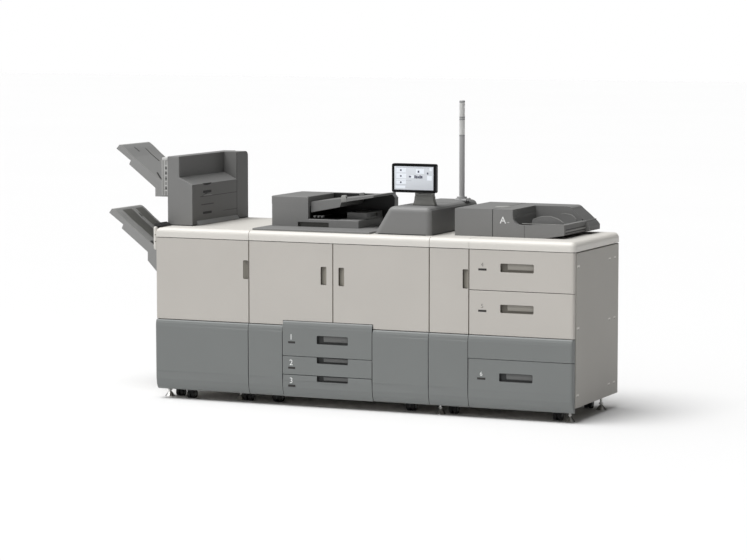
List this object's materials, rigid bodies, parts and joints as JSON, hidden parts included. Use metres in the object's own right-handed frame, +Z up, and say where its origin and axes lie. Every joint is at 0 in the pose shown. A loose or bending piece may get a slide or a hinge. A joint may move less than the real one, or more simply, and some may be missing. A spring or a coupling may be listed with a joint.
{
  "type": "photocopier",
  "caption": "Floor-standing production photocopier line: finisher with two slanted output trays, print engine with scanner and document feeder, and a drawer paper feeder.",
  "frame": {"origin": "middle of the footprint at floor level", "axes": "+X along the row from the finisher to the paper feeder, +Y from the operator to the back, +Z up"},
  "size_m": [3.105, 0.912, 1.769],
  "materials": {
    "cream_cover": "fine moulded texture, cream white",
    "beige_panel": "fine moulded texture, warm beige-grey",
    "cabinet_beige": "powder coat, warm beige-grey",
    "grey_panel": "fine moulded texture, mid grey",
    "dark_unit": "moulded, dark grey",
    "black_plastic": "moulded black",
    "screen_black": "gloss black bezel with a pale display",
    "platen": "clear float glass",
    "lens": "frosted white",
    "pole_grey": "satin grey tube",
    "zinc_steel": "bright plate",
    "rubber": "matt black",
    "drum_coating": "smooth green coating",
    "toner_shell": "moulded dark"
  },
  "bodies": {
    "root": {"finisher_cabinet": "cabinet_beige", "finisher_top_cover": "cream_cover", "finisher_tower": "dark_unit", "upper_stack_tray": "dark_unit", "engine_cabinet": "cabinet_beige", "engine_top_cover": "cream_cover", "scanner_deck": "dark_unit", "platen_glass": "platen", "panel_housing": "dark_unit", "signal_pole": "pole_grey", "signal_lens_lower": "lens", "signal_lens_upper": "lens", "laser_unit": "zinc_steel", "feeder_cabinet": "cabinet_beige", "feeder_top_cover": "cream_cover", "feeder_side_cover": "cabinet_beige", "feeder_blank_panel": "grey_panel", "bypass_head": "dark_unit", "bypass_tray": "dark_unit"},
    "finisher_door": {"finisher_door_upper": "beige_panel", "finisher_door_lower": "grey_panel"},
    "left_door": {"left_door_upper": "beige_panel", "left_door_lower": "grey_panel"},
    "right_door": {"right_door_upper": "beige_panel", "right_door_lower": "grey_panel"},
    "relay_door": {"relay_door_upper": "beige_panel", "relay_door_lower": "grey_panel"},
    "lower_tray": {"lower_stack_tray": "dark_unit"},
    "lid": {"feeder_lid": "dark_unit"},
    "lid_cover": {"feed_cover": "dark_unit"},
    "sheet_tray": {"feeder_input_tray": "dark_unit"},
    "neck": {"panel_neck": "dark_unit"},
    "screen": {"touch_screen": "screen_black"},
    "guide_front": {"bypass_guide_front": "dark_unit"},
    "guide_rear": {"bypass_guide_rear": "dark_unit"},
    "drum": {"photoconductor_drum": "drum_coating"},
    "fuser": {"fuser_roller": "zinc_steel"},
    "presser": {"pressure_roller": "rubber"},
    "toner": {"toner_bottle": "toner_shell"},
    "carriage": {"scan_carriage": "black_plastic"},
    "tray_1": {"paper_tray_1_front": "grey_panel", "paper_tray_1_tub": "black_plastic"},
    "drawer_1": {"feeder_drawer_1_front": "beige_panel", "feeder_drawer_1_tub": "black_plastic"},
    "tray_2": {"paper_tray_2_front": "grey_panel", "paper_tray_2_tub": "black_plastic"},
    "drawer_2": {"feeder_drawer_2_front": "beige_panel", "feeder_drawer_2_tub": "black_plastic"},
    "tray_3": {"paper_tray_3_front": "grey_panel", "paper_tray_3_tub": "black_plastic"},
    "drawer_3": {"feeder_drawer_3_front": "grey_panel", "feeder_drawer_3_tub": "black_plastic"},
    "fork_1": {"caster_1_fork": "black_plastic"},
    "wheels_1": {"caster_1_wheels": "rubber"},
    "fork_2": {"caster_2_fork": "black_plastic"},
    "wheels_2": {"caster_2_wheels": "rubber"},
    "fork_3": {"caster_3_fork": "black_plastic"},
    "wheels_3": {"caster_3_wheels": "rubber"},
    "fork_4": {"caster_4_fork": "black_plastic"},
    "wheels_4": {"caster_4_wheels": "rubber"}
  },
  "joints": [
    {"name": "finisher_door_hinge", "type": "hinge", "parent": "root", "child": "finisher_door", "pos_m": [-1.0585, -0.45, 0.5], "axis": [0, 0, -1], "range_deg": [0, 95]},
    {"name": "left_door_hinge", "type": "hinge", "parent": "root", "child": "left_door", "pos_m": [-0.4505, -0.45, 0.5], "axis": [0, 0, -1], "range_deg": [0, 90]},
    {"name": "right_door_hinge", "type": "hinge", "parent": "root", "child": "right_door", "pos_m": [0.6645, -0.45, 0.5], "axis": [0, 0, 1], "range_deg": [0, 90]},
    {"name": "relay_door_hinge", "type": "hinge", "parent": "root", "child": "relay_door", "pos_m": [0.6885, -0.45, 0.5], "axis": [0, 0, -1], "range_deg": [0, 90]},
    {"name": "tray_1_slide", "type": "slide", "parent": "root", "child": "tray_1", "axis": [0, -1, 0], "range_m": [0, 0.45]},
    {"name": "tray_2_slide", "type": "slide", "parent": "root", "child": "tray_2", "axis": [0, -1, 0], "range_m": [0, 0.45]},
    {"name": "tray_3_slide", "type": "slide", "parent": "root", "child": "tray_3", "axis": [0, -1, 0], "range_m": [0, 0.45]},
    {"name": "drawer_1_slide", "type": "slide", "parent": "root", "child": "drawer_1", "axis": [0, -1, 0], "range_m": [0, 0.5]},
    {"name": "drawer_2_slide", "type": "slide", "parent": "root", "child": "drawer_2", "axis": [0, -1, 0], "range_m": [0, 0.5]},
    {"name": "drawer_3_slide", "type": "slide", "parent": "root", "child": "drawer_3", "axis": [0, -1, 0], "range_m": [0, 0.5]},
    {"name": "lower_tray_lift", "type": "slide", "parent": "root", "child": "lower_tray", "axis": [0, 0, -1], "range_m": [0, 0.4]},
    {"name": "lid_hinge", "type": "hinge", "parent": "root", "child": "lid", "pos_m": [-0.0845, 0.221, 1.042], "axis": [-1, 0, 0], "range_deg": [0, 65]},
    {"name": "feed_cover_hinge", "type": "hinge", "parent": "lid", "child": "lid_cover", "pos_m": [-0.4325, -0.194, 1.158], "axis": [0, -1, 0], "range_deg": [0, 75]},
    {"name": "sheet_tray_hinge", "type": "hinge", "parent": "lid", "child": "sheet_tray", "pos_m": [-0.1865, -0.194, 1.168], "axis": [0, -1, 0], "range_deg": [0, 30]},
    {"name": "panel_swivel", "type": "hinge", "parent": "root", "child": "neck", "pos_m": [0.5525, -0.212, 1.18], "axis": [0, 0, 1], "range_deg": [-25, 25]},
    {"name": "screen_tilt", "type": "hinge", "parent": "neck", "child": "screen", "pos_m": [0.5525, -0.216, 1.318], "axis": [-1, 0, 0], "range_deg": [0, 60]},
    {"name": "guide_front_slide", "type": "slide", "parent": "root", "child": "guide_front", "axis": [0, 1, 0], "range_m": [-0.045, 0.06]},
    {"name": "guide_rear_slide", "type": "slide", "parent": "root", "child": "guide_rear", "axis": [0, 1, 0], "range_m": [-0.06, 0.045]},
    {"name": "carriage_slide", "type": "slide", "parent": "root", "child": "carriage", "axis": [1, 0, 0], "range_m": [0, 0.33]},
    {"name": "drum_spin", "type": "hinge", "parent": "root", "child": "drum", "pos_m": [0.1855, -0.144, 0.7], "axis": [0, 1, 0], "continuous": true},
    {"name": "fuser_spin", "type": "hinge", "parent": "root", "child": "fuser", "pos_m": [-0.1145, -0.144, 0.7404], "axis": [0, 1, 0], "continuous": true},
    {"name": "presser_spin", "type": "hinge", "parent": "root", "child": "presser", "pos_m": [-0.1145, -0.144, 0.68], "axis": [0, 1, 0], "continuous": true},
    {"name": "toner_spin", "type": "hinge", "parent": "root", "child": "toner", "pos_m": [-0.3045, -0.144, 0.85], "axis": [0, 1, 0], "continuous": true},
    {"name": "caster_1_swivel", "type": "hinge", "parent": "root", "child": "fork_1", "pos_m": [-0.3415, -0.319, 0.085], "axis": [0, 0, 1], "continuous": true},
    {"name": "caster_1_roll", "type": "hinge", "parent": "fork_1", "child": "wheels_1", "pos_m": [-0.3415, -0.299, 0.031], "axis": [1, 0, 0], "continuous": true},
    {"name": "caster_2_swivel", "type": "hinge", "parent": "root", "child": "fork_2", "pos_m": [0.5135, -0.329, 0.085], "axis": [0, 0, 1], "continuous": true},
    {"name": "caster_2_roll", "type": "hinge", "parent": "fork_2", "child": "wheels_2", "pos_m": [0.5135, -0.309, 0.031], "axis": [1, 0, 0], "continuous": true},
    {"name": "caster_3_swivel", "type": "hinge", "parent": "root", "child": "fork_3", "pos_m": [-0.3415, 0.346, 0.085], "axis": [0, 0, 1], "continuous": true},
    {"name": "caster_3_roll", "type": "hinge", "parent": "fork_3", "child": "wheels_3", "pos_m": [-0.3415, 0.366, 0.031], "axis": [1, 0, 0], "continuous": true},
    {"name": "caster_4_swivel", "type": "hinge", "parent": "root", "child": "fork_4", "pos_m": [0.5135, 0.346, 0.085], "axis": [0, 0, 1], "continuous": true},
    {"name": "caster_4_roll", "type": "hinge", "parent": "fork_4", "child": "wheels_4", "pos_m": [0.5135, 0.366, 0.031], "axis": [1, 0, 0], "continuous": true}
  ],
  "couplings": [
    {"joint": "presser_spin", "follows": "fuser_spin", "ratio": -1},
    {"joint": "guide_rear_slide", "follows": "guide_front_slide", "ratio": -1}
  ]
}
